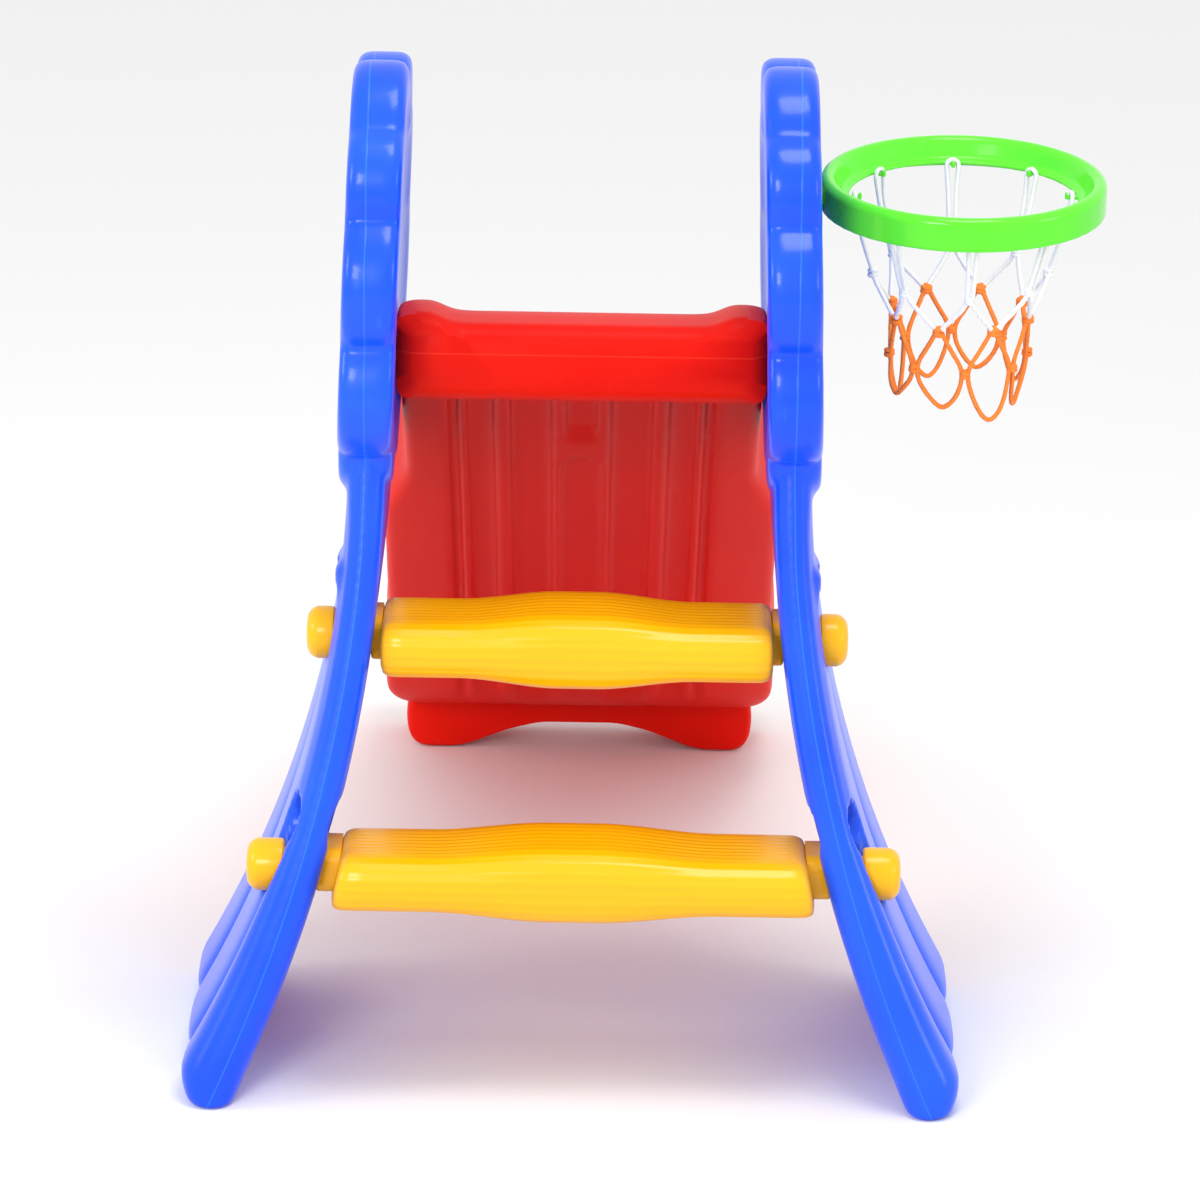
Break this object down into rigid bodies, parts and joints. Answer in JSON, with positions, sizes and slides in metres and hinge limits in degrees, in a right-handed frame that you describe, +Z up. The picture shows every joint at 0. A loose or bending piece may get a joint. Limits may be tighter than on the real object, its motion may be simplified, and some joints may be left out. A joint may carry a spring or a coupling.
{
  "type": "toddler slide",
  "caption": "Toddler slide with blow-moulded tree-shaped side panels, a chute with a deck, lift-out steps and a side basketball hoop with a knotted net",
  "frame": {"origin": "middle of the base of the whole slide's box, on the floor", "axes": "+Z up, +Y from the steps down the chute, +X to the right of a child who climbs the steps, which is the hoop's side"},
  "size_m": [0.6772, 0.9412, 0.7596],
  "materials": {
    "blue_plastic": "glossy blow-moulded polyethylene",
    "red_plastic": "satin blow-moulded polyethylene, grained on top",
    "yellow_plastic": "glossy blow-moulded polyethylene, finely ribbed treads",
    "green_plastic": "glossy injection-moulded plastic",
    "white_cord": "braided polypropylene cord",
    "orange_cord": "braided polypropylene cord",
    "zinc_steel": "zinc plated",
    "brass": "turned"
  },
  "bodies": {
    "frame": {"right_side_panel": "blue_plastic", "left_side_panel": "blue_plastic", "slide_chute": "red_plastic", "chute_bolts": "zinc_steel", "chute_washers": "zinc_steel", "chute_inserts": "brass", "bolt_caps": "blue_plastic"},
    "lower_step": {"lower_step": "yellow_plastic"},
    "upper_step": {"upper_step": "yellow_plastic"},
    "hoop": {"hoop_ring": "green_plastic", "net_white_cord_1": "white_cord", "net_white_cord_2": "white_cord", "net_white_cord_3": "white_cord", "net_white_cord_4": "white_cord", "net_white_cord_5": "white_cord", "net_white_cord_6": "white_cord", "net_white_cord_7": "white_cord", "net_white_cord_8": "white_cord", "net_orange_cord_1": "orange_cord", "net_orange_cord_2": "orange_cord", "net_orange_cord_3": "orange_cord", "net_orange_cord_4": "orange_cord", "net_orange_cord_5": "orange_cord", "net_orange_cord_6": "orange_cord", "net_orange_cord_7": "orange_cord", "net_orange_cord_8": "orange_cord", "net_neck_knots": "white_cord", "net_colour_knots": "orange_cord", "net_loop_knots": "orange_cord"}
  },
  "joints": [
    {"name": "lower_step_lift", "type": "slide", "parent": "frame", "child": "lower_step", "axis": [0, 0, 1], "range_m": [0, 0.035]},
    {"name": "upper_step_lift", "type": "slide", "parent": "frame", "child": "upper_step", "axis": [0, 0, 1], "range_m": [0, 0.035]},
    {"name": "hoop_lift", "type": "slide", "parent": "frame", "child": "hoop", "axis": [0, 0, 1], "range_m": [0, 0.024]}
  ]
}
